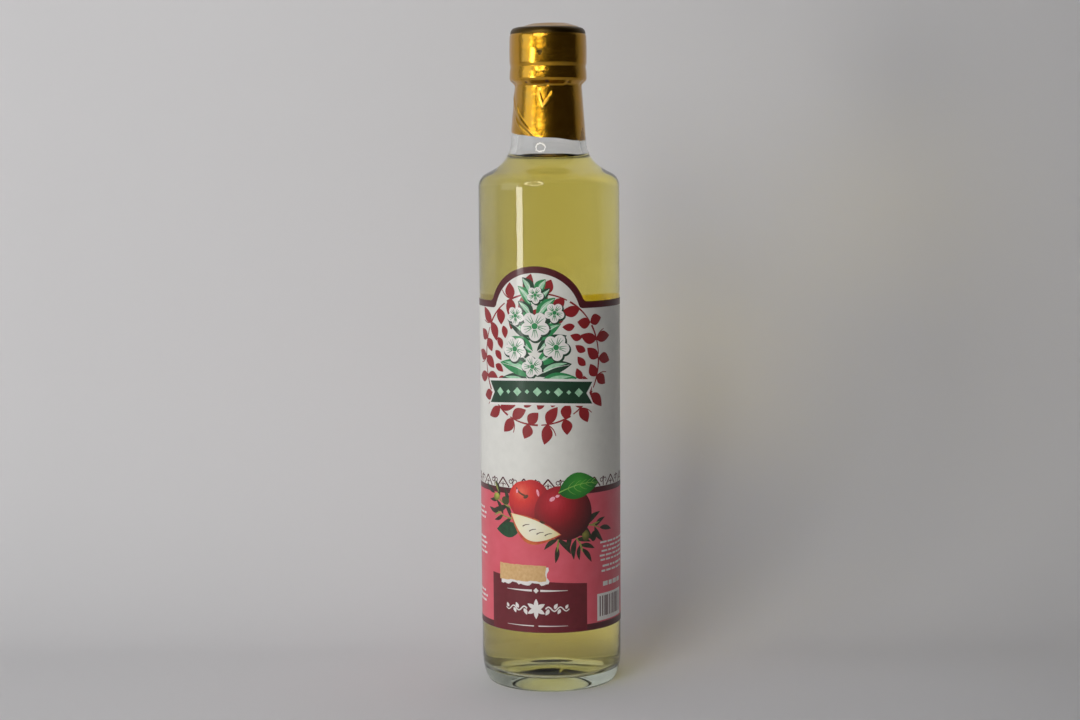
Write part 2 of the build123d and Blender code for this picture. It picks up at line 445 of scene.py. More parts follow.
# ------------------------------------------------------------------ glass, contents, closure
@dataclass
class Bottle:
    """The glass: its sizes in millimetres, and its outside and inside lines."""

    body_r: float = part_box("bottle_glass")[1].x / MM
    mouth_top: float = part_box("bottle_glass")[1].z / MM
    wall: float = 2.6
    shoulder_height: float = 216.7
    slope: float = 28.0
    shoulder_round: float = 6.2
    heel: Point = (3.7, 13.1)
    bearing: float = 2.6
    pushup: float = 4.5
    base: float = 5.6
    inner_heel: Point = (7.5, 9.0)
    neck_r: float = 14.0
    neck_length: float = 31.8
    taper: float = 4.6
    neck_round: float = 14.0
    bead: tuple[float, float, float] = (15.9, 1.7, 0.3)
    finish_r: float = 15.1
    knurls: int = 96

    @property
    def bead_bottom(self) -> float:
        """Height of the underside of the neck bead."""
        root_r = self.neck_r + self.neck_length * math.tan(math.radians(self.taper))
        rise = (self.body_r - root_r) * math.tan(math.radians(self.slope))
        return self.shoulder_height + rise + self.neck_length

    def neck(self, z: float, inset: float = 0.0) -> float:
        """Radius of the tapered neck.

        Args:
            z: height.
            inset: depth into the glass.
        Returns:
            The radius.
        """
        taper = math.radians(self.taper)
        return self.neck_r + (self.bead_bottom - z) * math.tan(taper) - inset / math.cos(taper)

    def side(self, inset: float, bottom: float, top: float) -> Outline:
        """Body wall, shoulder and neck, parallel to the outside.

        Args:
            inset: depth into the glass.
            bottom: lowest height.
            top: highest height.
        Returns:
            The divided line.
        """
        slope, taper = math.tan(math.radians(self.slope)), math.tan(math.radians(self.taper))
        wall_r = self.body_r - inset
        corner = self.shoulder_height - inset * (1 / math.cos(math.radians(self.slope)) - slope)
        meet_r = (self.neck(corner, inset) - wall_r * slope * taper) / (1 - slope * taper)
        meet = (meet_r, corner + (wall_r - meet_r) * slope)
        corners = [(wall_r, bottom), (wall_r, corner), meet, (self.neck(top, inset), top)]
        return rounded_path(corners, [self.shoulder_round - inset, self.neck_round + inset], 1.2)

    def heel_line(self, radius: float, size: Point, base: float) -> Outline:
        """Quarter ellipse from the flat of the base up to the wall, without its last point.

        Args:
            radius: of the wall.
            size: width and height of the quarter.
            base: height of its foot.
        Returns:
            The points.
        """
        steps = 16
        turns = [math.pi / 2 * i / steps for i in range(steps)]
        return [(radius - size[0] + size[0] * math.sin(t), base + size[1] * (1 - math.cos(t))) for t in turns]

    def dome(self, rim: float, base: float) -> Outline:
        """Push-up from the axis out to a rim, without its last point.

        Args:
            rim: radius of the rim.
            base: height of the rim.
        Returns:
            The points.
        """
        steps = 12
        turns = [math.pi * i / steps for i in range(steps)]
        return [(rim * t / math.pi, base + self.pushup * (1 + math.cos(t)) / 2) for t in turns]

    def cavity(self, inset: float, top: float) -> Outline:
        """Inside line from the middle of the floor up to a height.

        Args:
            inset: distance from the outside of the wall.
            top: highest height.
        Returns:
            The divided line.
        """
        radius, rise = self.body_r - inset, self.base + inset - self.wall
        rim = radius - self.inner_heel[0]
        heel = self.heel_line(radius, self.inner_heel, rise)
        return self.dome(rim, rise) + heel + self.side(inset, rise + self.inner_heel[1], top)

    def build(self) -> bpy.types.Object:
        """Closed hollow glass with a knurled bearing ring and a slightly wavy inside."""
        foot = self.body_r - self.heel[0]
        dome_r = foot - self.bearing
        outside = self.dome(dome_r, 0.0)
        outside += [(dome_r + self.bearing * i / 5, 0.0) for i in range(5)]
        outside += self.heel_line(self.body_r, self.heel, 0.0)
        outside += self.side(0.0, self.heel[1], self.bead_bottom)
        bead_r, rise, land = self.bead
        lip = self.bead_bottom + rise
        outside += [(bead_r, lip), (bead_r, lip + land)]
        outside += [(self.finish_r, lip + land), (self.finish_r, self.mouth_top)]
        inside = self.cavity(self.wall, self.mouth_top)[::-1]
        first_inside = len(outside)

        def shape(r: float, z: float, angle: float, number: int) -> tuple[float, float]:
            """Knurl the bearing ring and wave the inner wall.

            Args:
                r, z: radius and height of the plain form.
                angle: radians from the front.
                number: number of the point on the outline.
            Returns:
                The shaped radius and height.
            """
            if number >= first_inside:
                x, y = r * math.sin(angle), r * math.cos(angle)
                return (r + 0.16 * ripple(x, y, z * 0.4, 14.0) if r > 5 else r), z
            ring = math.exp(-((r - 25.2) / 1.5) ** 2) * math.exp(-(z / 2.5) ** 2)
            lift = 0.45 * ring * max(0.0, math.sin(self.knurls * angle))
            return r, z + lift

        points, faces = lathe(outside + inside, 3 * self.knurls, shape)
        piece = mesh_object("glass", points, faces, FlintGlass().material(), 50)
        finish_piece(piece, "clear_glass", "bottle_glass")
        return piece


@dataclass
class Contents:
    """The vinegar, a little into the wall, with the curved edge that it draws up the glass."""

    bottle: Bottle
    level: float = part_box("vinegar")[1].z / MM
    overlap: float = 0.12
    climb: float = 2.3
    curl: float = 1.5

    def build(self) -> bpy.types.Object:
        """Closed body of liquid with a meniscus."""
        inset = self.bottle.wall - self.overlap
        side = [p for p in self.bottle.cavity(inset, self.level + 25) if p[1] < self.level - 0.6]
        edge_z = self.level - 0.05
        edge_r = self.edge_radius(edge_z, inset)
        steps = 26
        top = []
        for i in range(steps + 1):
            r = edge_r * (1 - (i / steps) ** 1.8)
            sink = self.climb * (1 - math.exp(-(edge_r - r) / self.curl))
            top.append((r, edge_z - sink))
        points, faces = lathe(side + top, 144)
        piece = mesh_object("vinegar_body", points, faces, PaleVinegar().material(), 60)
        finish_piece(piece, "vinegar", "vinegar")
        return piece

    def edge_radius(self, z: float, inset: float) -> float:
        """Inner radius of the glass at a height.

        Args:
            z: height.
            inset: depth into the glass.
        Returns:
            The radius.
        """
        line = self.bottle.side(inset, 200.0, 260.0)
        below, above = next((a, b) for a, b in zip(line, line[1:]) if a[1] <= z <= b[1])
        share = (z - below[1]) / (above[1] - below[1])
        return below[0] + (above[0] - below[0]) * share


@dataclass
class Closure:
    """Screw closure under the capsule, with the fine flutes of a drawn cap."""

    low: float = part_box("closure")[0].z / MM
    high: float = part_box("closure")[1].z / MM
    radius: float = 15.9
    inner: float = 15.25
    flutes: int = 72

    def build(self) -> bpy.types.Object:
        """Closed fluted shell."""
        rim = self.high - 2.2
        corners = [(self.inner, self.low), (self.radius, self.low)]
        corners += [(self.radius, rim), (0.0, self.high - 0.5)]
        outline = rounded_path(corners, [0.1, 2.4], 1.2)
        outline.append((0.0, self.high - 3.3))
        ceiling = [(self.inner * i / 6, self.high - 3.3) for i in range(1, 7)]
        wall = [(self.inner, self.high - 3.3 - (self.high - 3.3 - self.low) * i / 12) for i in range(1, 12)]

        def shape(r: float, z: float, angle: float, number: int) -> tuple[float, float]:
            """Cut the flutes into the side.

            Args:
                r, z: radius and height of the plain form.
                angle: radians from the front.
                number: not used.
            Returns:
                The shaped radius and height.
            """
            fluted = r > self.inner + 0.2 and self.low + 5 < z < rim - 2
            return r - (0.12 * (1 - math.cos(self.flutes * angle)) / 2 if fluted else 0.0), z

        points, faces = lathe(outline + ceiling + wall, 288, shape)
        faces = [f for f in faces if len(set(f)) > 2]
        piece = mesh_object("screw_closure", points, faces, LacqueredAluminium().material(), 50)
        finish_piece(piece, "closure_shell", "closure")
        return piece


@dataclass
class Capsule:
    """Gold film shrunk on: puckered at the step, wrinkled on the neck, askew at its foot."""

    bottle: Bottle
    top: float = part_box("capsule")[1].z / MM
    side_r: float = 16.27
    film: float = 0.08
    foot: float = 234.3
    lean: Point = (-1.7, 1.1)
    puckers: int = 10
    segments: int = 360
    # Each fold: degrees at its top and at its foot, height of its top, how proud it is, its width.
    folds: tuple[tuple[float, ...], ...] = (
        (-84.0, -14.0, 252.0, 0.30, 1.5), (-62.0, -19.0, 247.0, 0.42, 1.2), (-64.0, -30.0, 242.5, 0.30, 1.0),
        (8.0, -9.0, 253.0, 0.22, 1.1), (-16.0, -7.0, 253.0, 0.2, 1.0), (120.0, 160.0, 250.0, 0.3, 1.3),
        (205.0, 180.0, 247.0, 0.25, 1.2))
    vent_turn: float = -12.3
    vent_height: float = 268.7
    vent_r: float = 1.05

    def profile(self) -> Outline:
        """Outside line from the foot to the middle of the top."""
        neck_top = self.bottle.bead_bottom - 0.2
        neck = [(self.bottle.neck(z) + 0.14, z) for z in (self.foot, neck_top)]
        side = self.side_r
        corners = neck + [(16.05, 257.3), (side + 0.1, 258.3), (side - 0.02, 261.2),
                          (side - 0.3, 263.2), (side + 0.02, 264.6), (side + 0.1, 270.5),
                          (side - 0.12, 276.2), (side - 1.9, 279.2),
                          (13.1, 279.6), (7.5, self.top - 0.35), (0.0, self.top - 0.2)]
        radii = [1.2, 0.5, 0.8, 4.0, 0.5, 4.0, 8.0, 2.2, 1.5, 1.2, 9.0]
        return rounded_path(corners, radii, 0.42)

    def relief(self, r: float, z: float, angle: float) -> float:
        """How far the film stands out.

        Args:
            r: radius before the relief.
            z: height.
            angle: radians from the front.
        Returns:
            Millimetres outwards.
        """
        turn = math.degrees((angle + math.pi) % math.tau - math.pi)
        x, y = r * math.sin(angle), r * math.cos(angle)
        out = 0.05 * ripple(x, y, z, 5.0) + 0.02 * ripple(x, y, z, 1.7)
        on_neck = min(1.0, max(0.0, (255.0 - z) / 3.0))
        for start, end, high, height, width in self.folds:
            low = self.foot - 1.0 if high < 252.5 else 246.0
            share = (high - z) / (high - low)
            if -0.1 < share < 1.1:
                middle = start + (end - start) * share ** 1.35 if share > 0 else start
                gap = ((turn - middle + 180) % 360 - 180) * math.radians(1) * r
                fade = max(0.0, min(1.0, (share + 0.1) * 5, (1.1 - share) * 5))
                out += height * fade * on_neck * math.exp(-(gap / (width * 0.55)) ** 2)
        step = math.exp(-((z - 256.3) / 1.1) ** 2)
        pucker = max(0.0, math.cos(self.puckers * (angle + math.radians(2.0)))) ** 3
        out -= 0.55 * step * pucker * (0.75 + 0.5 * ripple(x, y, 0.0, 9.0))
        out += 0.08 * math.exp(-((z - 277.0) / 0.35) ** 2)
        return out

    def build(self) -> bpy.types.Object:
        """Closed film with an inside, cut askew at the foot and pierced by the vent."""
        outer = self.profile()
        inner = [(max(0.0, r - self.film), z - (self.film if z > 278 else 0.0)) for r, z in outer[::-1]]

        def shape(r: float, z: float, angle: float, number: int) -> tuple[float, float]:
            """Wrinkle the film, lean its foot and tilt its top.

            Args:
                r, z: radius and height of the plain form.
                angle: radians from the front.
                number: not used.
            Returns:
                The shaped radius and height.
            """
            x, y = r * math.sin(angle), -r * math.cos(angle)
            near_foot = max(0.0, 1 - (z - self.foot) / 14.0)
            waves = 0.25 * math.sin(3 * angle + 1.0) + 0.12 * math.sin(7 * angle)
            z += near_foot * ((self.lean[0] * x + self.lean[1] * y) / 15.7 + waves)
            fade = min(1.0, r / 8.0)
            if z > 278.6:
                z += (0.35 * x / 13.0 + 0.12 * ripple(x, y, z, 6.0)) * fade * (1 if r < 13 else -0.4)
                z = min(z, self.top - 0.02)
            return (min(r + self.relief(r, z, angle) * fade, 16.38) if r > 0.5 else r), z

        points, faces = lathe(outer + inner, self.segments, shape)
        piece = mesh_object("gold_capsule", points, faces, MetallisedFilm().material(), 60)
        self.pierce(piece)
        finish_piece(piece, "gold_film", "capsule")
        return piece

    def pierce(self, piece: bpy.types.Object) -> None:
        """Cut the small vent with a rounded triangular punch.

        Args:
            piece: the film.
        """
        turn = math.radians(self.vent_turn)
        corners = 24
        rim = []
        for i in range(corners):
            a = math.tau * i / corners
            size = self.vent_r * (1 + 0.22 * math.cos(3 * (a + math.pi / 2)))
            rim.append((size * math.cos(a), size * math.sin(a)))
        points = [(x, -depth, z) for depth in (15.0, 18.0) for x, z in rim]
        place = Matrix.Translation((0, 0, self.vent_height)) @ Matrix.Rotation(turn, 4, "Z")
        points = [tuple(place @ Vector(p)) for p in points]
        sides = [(i, (i + 1) % corners, corners + (i + 1) % corners, corners + i) for i in range(corners)]
        ends = [tuple(range(corners))[::-1], tuple(range(corners, 2 * corners))]
        punch = mesh_object("punch", points, sides + ends, piece.data.materials[0])
        cut = piece.modifiers.new("vent", "BOOLEAN")
        cut.operation, cut.object, cut.solver = "DIFFERENCE", punch, "EXACT"
        evaluated = piece.evaluated_get(bpy.context.evaluated_depsgraph_get())
        pierced = bpy.data.meshes.new_from_object(evaluated)
        piece.modifiers.clear()
        piece.data = pierced
        bpy.data.objects.remove(punch)


# ------------------------------------------------------------------ flat shapes for the print
def polar(centre: Point, radius: float, angle: float) -> Point:
    """Point at a radius and an angle in radians from a centre."""
    return centre[0] + radius * math.cos(angle), centre[1] + radius * math.sin(angle)


def placed(centre: Point, x: float, y: float, turn: float) -> Point:
    """Turn a point and move it.

    Args:
        centre: where the origin goes.
        x, y: point before the move.
        turn: radians anticlockwise.
    Returns:
        The moved point.
    """
    return (centre[0] + x * math.cos(turn) - y * math.sin(turn),
            centre[1] + x * math.sin(turn) + y * math.cos(turn))


def oval(centre: Point, width: float, height: float, turn: float = 0.0, count: int = 36) -> Outline:
    """Ellipse, turned about its centre.

    Args:
        centre: its middle.
        width: its first axis.
        height: its second axis.
        turn: degrees anticlockwise.
        count: number of points.
    Returns:
        Its outline.
    """
    t = math.radians(turn)
    out = []
    for i in range(count):
        a = math.tau * i / count
        out.append(placed(centre, width / 2 * math.cos(a), height / 2 * math.sin(a), t))
    return out


def leaf(foot: Point, length: float, width: float, turn: float,
         bend: float = 0.0, count: int = 12) -> Outline:
    """Pointed leaf that grows from its foot.

    Args:
        foot: where its stalk is.
        length: from foot to tip.
        width: at its widest, a little below the middle.
        turn: degrees anticlockwise from the right.
        bend: sideways bow of its middle line, as a share of the length.
    Returns:
        Its outline.
    """
    t = math.radians(turn)
    edge = []
    for side in (1, -1):
        steps = range(count + 1) if side > 0 else range(count - 1, 0, -1)
        for i in steps:
            u = i / count
            half = width / 2 * math.sin(math.pi * u ** 0.85) ** 0.9 if 0 < u < 1 else 0.0
            edge.append(placed(foot, length * u, side * half + bend * length * math.sin(math.pi * u), t))
    return edge


def stroke(line: Outline, start: float, end: float) -> Outline:
    """Ribbon of ink along a line.

    Args:
        line: its middle.
        start: width at its start.
        end: width at its end.
    Returns:
        Its outline.
    """
    left, right = [], []
    for i, here in enumerate(line):
        a, b = line[max(0, i - 1)], line[min(len(line) - 1, i + 1)]
        run = Vector((b[0] - a[0], b[1] - a[1])).normalized()
        half = (start + (end - start) * i / (len(line) - 1)) / 2
        left.append((here[0] - run.y * half, here[1] + run.x * half))
        right.append((here[0] + run.y * half, here[1] - run.x * half))
    return left + right[::-1]


def arc(centre: Point, radius: float, start: float, end: float, count: int = 16) -> Outline:
    """Points along an arc.

    Args:
        centre: its centre.
        radius: its radius.
        start: degrees at its start.
        end: degrees at its end.
        count: number of steps.
    Returns:
        The points.
    """
    turns = [math.radians(start + (end - start) * i / count) for i in range(count + 1)]
    return [polar(centre, radius, t) for t in turns]


def bow(start: Point, end: Point, sag: float, count: int = 10) -> Outline:
    """Gently bowed line between two points.

    Args:
        start: first point.
        end: last point.
        sag: height of the bow as a share of the length.
        count: number of steps.
    Returns:
        The points.
    """
    run = Vector(end) - Vector(start)
    side = Vector((-run.y, run.x))
    shares = [i / count for i in range(count + 1)]
    return [tuple(Vector(start) + run * u + side * sag * math.sin(math.pi * u)) for u in shares]


def block(left: float, bottom: float, right: float, top: float) -> Outline:
    """Upright rectangle."""
    return [(left, bottom), (right, bottom), (right, top), (left, top)]


@dataclass
class Label:
    """Wrapped label: its paper, and the radius that each layer of ink lies at."""

    low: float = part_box("label")[0].z / MM
    glass_r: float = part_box("bottle_glass")[1].x / MM
    height: float = 139.4
    middle: float = -6.3
    arch_r: float = 22.6
    arch_sink: float = 7.7
    border: float = 2.8
    paper: float = 0.055
    layer: float = 0.0085
    seam: float = 1.6

    @property
    def half_round(self) -> float:
        """Half of the paper's length, measured on the glass."""
        return math.pi * self.glass_r - self.seam / 2

    @property
    def arch_centre(self) -> Point:
        """Centre of the arch on the flat paper."""
        return self.middle, self.height - self.arch_sink

    def top_line(self, drop: float = 0.0) -> Outline:
        """Top edge of the paper from left to right, or a line parallel to it, lower down.

        Args:
            drop: distance below the edge.
        Returns:
            The points.
        """
        radius, level = self.arch_r - drop, self.height - drop
        sink = level - self.arch_centre[1]
        foot = math.degrees(math.asin(sink / radius))
        curve = arc(self.arch_centre, radius, 180 - foot, foot, 48)
        flare = 1.3
        left = [(curve[0][0] - flare, level), (curve[0][0] - flare * 0.3, level + 0.25)]
        right = [(curve[-1][0] + flare * 0.3, level + 0.25), (curve[-1][0] + flare, level)]
        ends = self.middle - self.half_round, self.middle + self.half_round
        return [(ends[0], level)] + left + curve[1:-1] + right + [(ends[1], level)]

    def lift(self, s: float, z: float) -> float:
        """Small blister near the right edge, where the paper stands off the glass."""
        return 0.38 * math.exp(-((s - 40.5) / 2.2) ** 2 - ((z - 94.0) / 2.0) ** 2)

    def wrap(self, name: str, outlines: Sequence[Outline], material: bpy.types.Material, level: int,
             thick: float | None = None) -> bpy.types.Object:
        """Lay flat shapes round the bottle as one thin closed piece.

        Args:
            name: piece name.
            outlines: flat shapes in millimetres: along the paper from the front, and up from its lower edge.
            material: its finish.
            level: number of the ink layer, 0 for the first on the paper and -1 for the paper.
            thick: thickness, one layer unless stated.
        Returns:
            The piece.
        """
        thick = self.layer if thick is None else thick
        flat = bmesh.new()
        for number, outline in enumerate(outlines):
            sub = (number % 7) * 1e-3
            corners = [flat.verts.new((x, y, sub)) for x, y in outline]
            for a, b, c in geometry.tessellate_polygon([[Vector((x, y, 0)) for x, y in outline]]):
                try:
                    flat.faces.new((corners[a], corners[b], corners[c]))
                except ValueError:
                    LOG.warning("%s: a doubled face was left out", name)
        low = math.floor(min(v.co.x for v in flat.verts))
        high = math.ceil(max(v.co.x for v in flat.verts))
        for cut in range(low, high + 1):
            bmesh.ops.bisect_plane(flat, geom=flat.verts[:] + flat.edges[:] + flat.faces[:], dist=1e-5,
                                   plane_co=(cut, 0, 0), plane_no=(1, 0, 0))
        if high > 34:
            for cut in range(86, 103, 1):
                bmesh.ops.bisect_plane(flat, geom=flat.verts[:] + flat.edges[:] + flat.faces[:], dist=1e-5,
                                       plane_co=(0, cut, 0), plane_no=(0, 1, 0))
        loose = [v for v in flat.verts if not v.link_faces]
        bmesh.ops.delete(flat, geom=loose, context="VERTS")
        flat.verts.index_update()
        base = self.glass_r + (0.0 if level < 0 else self.paper + level * self.layer)
        flats = [tuple(v.co) for v in flat.verts]
        count = len(flats)
        points = []
        for rise in (thick, 0.0):
            for s, z, sub in flats:
                radius = base + rise + sub + self.lift(s, z)
                angle = s / self.glass_r
                points.append((radius * math.sin(angle), -radius * math.cos(angle), self.low + z))
        faces = []
        flat.verts.ensure_lookup_table()
        for face in flat.faces:
            ring = [v.index for v in face.verts]
            if face.normal.z < 0:
                ring.reverse()
            faces.append(ring)
            faces.append([i + count for i in reversed(ring)])
            for a, b in zip(ring, ring[1:] + ring[:1]):
                if len(flat.edges.get((flat.verts[a], flat.verts[b])).link_faces) == 1:
                    faces.append([b, a, a + count, b + count])
        flat.free()
        piece = mesh_object(name, points, faces, material, 30)
        flat_place = piece.data.attributes.new("print_mm", "FLOAT_VECTOR", "POINT")
        if len(piece.data.vertices) == 2 * count:
            once = [c for s, z, _sub in flats for c in (s, z, 0.0)]
            flat_place.data.foreach_set("vector", once + once)
        finish_piece(piece, "label_paper")
        return piece

    def build(self) -> bpy.types.Object:
        """The paper, then its fields of colour and its maroon border."""
        ends = self.middle - self.half_round, self.middle + self.half_round
        sheet = [(ends[1], 0.0), (ends[0], 0.0)] + self.top_line()
        white = LaminatedPrint("white coated label paper", "#DEDDD6", "#E4E3DC", 4.0)
        paper = self.wrap("label_sheet", [sheet], white.material(), -1, self.paper)
        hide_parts("label")
        self.wrap("rose_field", [block(ends[0], 2.6, ends[1], 58.8)], Ink.PINK.material(), 0)
        bands = [block(ends[0], 0.0, ends[1], 2.8), block(ends[0], 58.6, ends[1], 61.0),
                 self.top_line() + self.top_line(self.border)[::-1]]
        self.wrap("maroon_bands", bands, Ink.MAROON.material(), 1)
        return paper


# ------------------------------------------------------------------ the print
@dataclass
class LeafWreath:
    """Ring of paired dark red leaves on a round vine, behind the green spray."""

    label: Label
    centre: Point = (-5.2, 115.6)
    vine_r: float = 27.5
    pairs: int = 22

    def inside(self, outline: Outline) -> bool:
        """Tell whether a shape stays on the paper or under its border.

        Args:
            outline: flat shape.
        Returns:
            True if all of it does.
        """
        cx, cz = self.label.arch_centre
        reach = self.label.arch_r - 1.0
        return all(z < self.label.height - 1.0 or math.hypot(s - cx, z - cz) < reach for s, z in outline)

    def build(self) -> None:
        """Vine, leaves inside and outside it, and twigs."""
        shapes: list[Outline] = []
        for i in range(self.pairs):
            turn = 360 * i / self.pairs
            a = math.radians(turn)
            foot = polar(self.centre, self.vine_r, a)
            length = 7.4 + 1.2 * math.sin(i * 2.3)
            for side in (-34, 124):
                shape = leaf(foot, length, 4.7, turn + 20 + side + 5 * math.sin(i * 1.7), 0.06)
                if self.inside(shape):
                    shapes.append(shape)
            inner_r = self.vine_r - 6.6
            b = a + math.pi / self.pairs
            bud = leaf(polar(self.centre, inner_r, b), 5.4, 3.2, turn + 150, 0.06)
            if self.inside(bud):
                shapes.append(bud)
            twig = stroke(bow(foot, polar(foot, 6, a + 0.5), 0.12), 0.6, 0.35)
            if i % 2 and self.inside(twig):
                shapes.append(twig)
        for start in range(0, 360, 30):
            vine = stroke(arc(self.centre, self.vine_r, start + 3, start + 30, 10), 0.5, 0.85)
            if self.inside(vine):
                shapes.append(vine)
        self.label.wrap("red_leaf_wreath", shapes, Ink.RED.material(), 0)


@dataclass
class GreenSpray:
    """Upright spray of broad green leaves with pale five-petalled blossoms."""

    label: Label
    foot: Point = (-6.3, 104.0)
    height: float = 44.0

    def blossoms(self) -> list[tuple[Point, float]]:
        """Places and radii of the blossoms."""
        return [((-6.3, 129.5), 6.2), ((-15.2, 119.8), 5.4), ((2.6, 120.6), 5.6), ((-7.4, 112.6), 4.6),
                ((-14.8, 133.6), 4.0), ((2.0, 135.0), 4.2), ((-6.0, 142.4), 3.6)]

    def build(self) -> None:
        """Leaves from dark to pale, then the blossoms over them."""
        dark, mid, pale, veins = [], [], [], []
        for i in range(9):
            z = self.foot[1] + self.height * i / 9
            for side in (-1, 1):
                turn = 90 - side * (78 - 5.5 * i)
                length = 16.5 - 1.05 * i + 1.2 * math.sin(i * 2.1 + side)
                shape = leaf((self.foot[0] + side * 0.8, z), length, 6.4 - 0.25 * i, turn, 0.07 * side)
                (dark, mid)[(i + (side > 0)) % 2].append(shape)
                inner = (self.foot[0] + side * 2.0, z + 0.5)
                pale.append(leaf(inner, length * 0.8, 2.0, turn + side * 4, 0.09 * side))
                start = (self.foot[0] + side * 0.8, z)
                end = polar(start, length * 0.93, math.radians(turn))
                veins.append(stroke(bow(start, end, 0.06 * side), 0.4, 0.12))
        self.label.wrap("spray_leaves_dark", dark, Ink.BOTTLE_GREEN.material(), 2)
        self.label.wrap("spray_leaves_mid", mid, Ink.LEAF_GREEN.material(), 3)
        self.label.wrap("spray_leaves_pale", pale, Ink.PALE_GREEN.material(), 4)
        self.label.wrap("spray_veins", veins, Ink.WHITE.material(), 5)
        shade, petals, lines, hearts = [], [], [], []
        for (x, z), radius in self.blossoms():
            for k in range(5):
                turn = 90 + 72 * k + 17 * x
                a = math.radians(turn)
                petal = polar((x, z), radius * 0.52, a)
                shade.append(oval((petal[0] + 0.35, petal[1] - 0.45), radius * 1.12, radius * 1.02, turn))
                petals.append(oval(petal, radius * 0.98, radius * 0.86, turn))
                for spread in (-16, 0, 16):
                    b = math.radians(turn + spread)
                    line = bow(polar((x, z), radius * 0.25, b), polar((x, z), radius * 0.8, b), 0.02, 3)
                    lines.append(stroke(line, 0.42, 0.1))
            hearts.append(oval((x, z), radius * 0.42, radius * 0.42))
        self.label.wrap("blossom_shade", shade, Ink.BOTTLE_GREEN.material(), 5)
        self.label.wrap("blossom_petals", petals, Ink.WHITE.material(), 6)
        self.label.wrap("blossom_lines", lines, Ink.LEAF_GREEN.material(), 7)
        self.label.wrap("blossom_hearts", hearts, Ink.LEAF_GREEN.material(), 8)


@dataclass
class BlankRibbon:
    """Dark green swallow-tailed ribbon with a white keyline and a row of small lozenges."""

    label: Label
    left: float = -29.5
    right: float = 18.8
    low: float = 96.4
    tall: float = 9.2

    def band(self, grow: float) -> Outline:
        """Outline of the ribbon.

        Args:
            grow: margin round it.
        Returns:
            The outline.
        """
        steps = 28
        rise = [1.1 * math.sin(math.pi * i / steps) for i in range(steps + 1)]
        xs = [self.left - grow + (self.right - self.left + 2 * grow) * i / steps for i in range(steps + 1)]
        bottom = [(x, self.low - grow + r) for x, r in zip(xs, rise)]
        top = [(x, self.low + self.tall + grow + r) for x, r in zip(xs, rise)]
        notch = 3.0 - grow * 0.4
        middle = self.low + self.tall / 2
        notches = (self.right + grow - notch, middle), (self.left - grow + notch, middle)
        return bottom + [notches[0]] + top[::-1] + [notches[1]]

    def build(self) -> None:
        """Keyline, ribbon and lozenges."""
        self.label.wrap("ribbon_keyline", [self.band(1.0)], Ink.WHITE.material(), 6)
        self.label.wrap("ribbon", [self.band(0.0)], Ink.BOTTLE_GREEN.material(), 7)
        centre = (self.left + self.right) / 2
        marks = []
        for k in range(-4, 5):
            x = centre + 4.4 * k
            share = (x - self.left) / (self.right - self.left)
            z = self.low + self.tall / 2 + 1.1 * math.sin(math.pi * share)
            size = 1.9 if k % 2 == 0 else 1.0
            marks.append([(x - size, z), (x, z - size), (x + size, z), (x, z + size)])
        self.label.wrap("ribbon_lozenges", marks, Ink.PALE_GREEN.material(), 8)


@dataclass
class KilimBorder:
    """Traditional woven-border figure: triangles with a hooked tree, and ram's horns between them."""

    label: Label
    low: float = 61.2
    tall: float = 4.1
    repeats: int = 18

    def build(self) -> None:
        """Repeat the figure round the whole paper."""
        shapes: list[Outline] = []
        pitch = 2 * self.label.half_round / self.repeats
        for i in range(self.repeats):
            x = self.label.middle - self.label.half_round + pitch * (i + 0.5)
            z, tall = self.low, self.tall
            apex = (x, z + tall)
            for side in (-1, 1):
                shapes.append(stroke([(x + side * 3.3, z), apex], 0.62, 0.62))
                hook = arc((x + side * 0.75, z + 0.85), 0.62, 90 - side * 90, 90 + side * 90, 6)
                shapes.append(stroke(hook, 0.34, 0.3))
                horn = (x + pitch / 2 + side * 1.05, z + 2.5)
                shapes.append(stroke(arc(horn, 0.85, 180 if side > 0 else 0, 180 - side * 250, 8), 0.42, 0.3))
            shapes.append(stroke([(x, z), (x, z + 2.3)], 0.4, 0.4))
            shapes.append(stroke([(x + pitch / 2, z), (x + pitch / 2, z + 2.6)], 0.45, 0.4))
            between = x + pitch / 2
            shapes.append([(between - 0.55, z + 3.6), (between, z + 3.05),
                           (between + 0.55, z + 3.6), (between, z + 4.15)])
        self.label.wrap("kilim_border", shapes, Ink.MAROON.material(), 2)


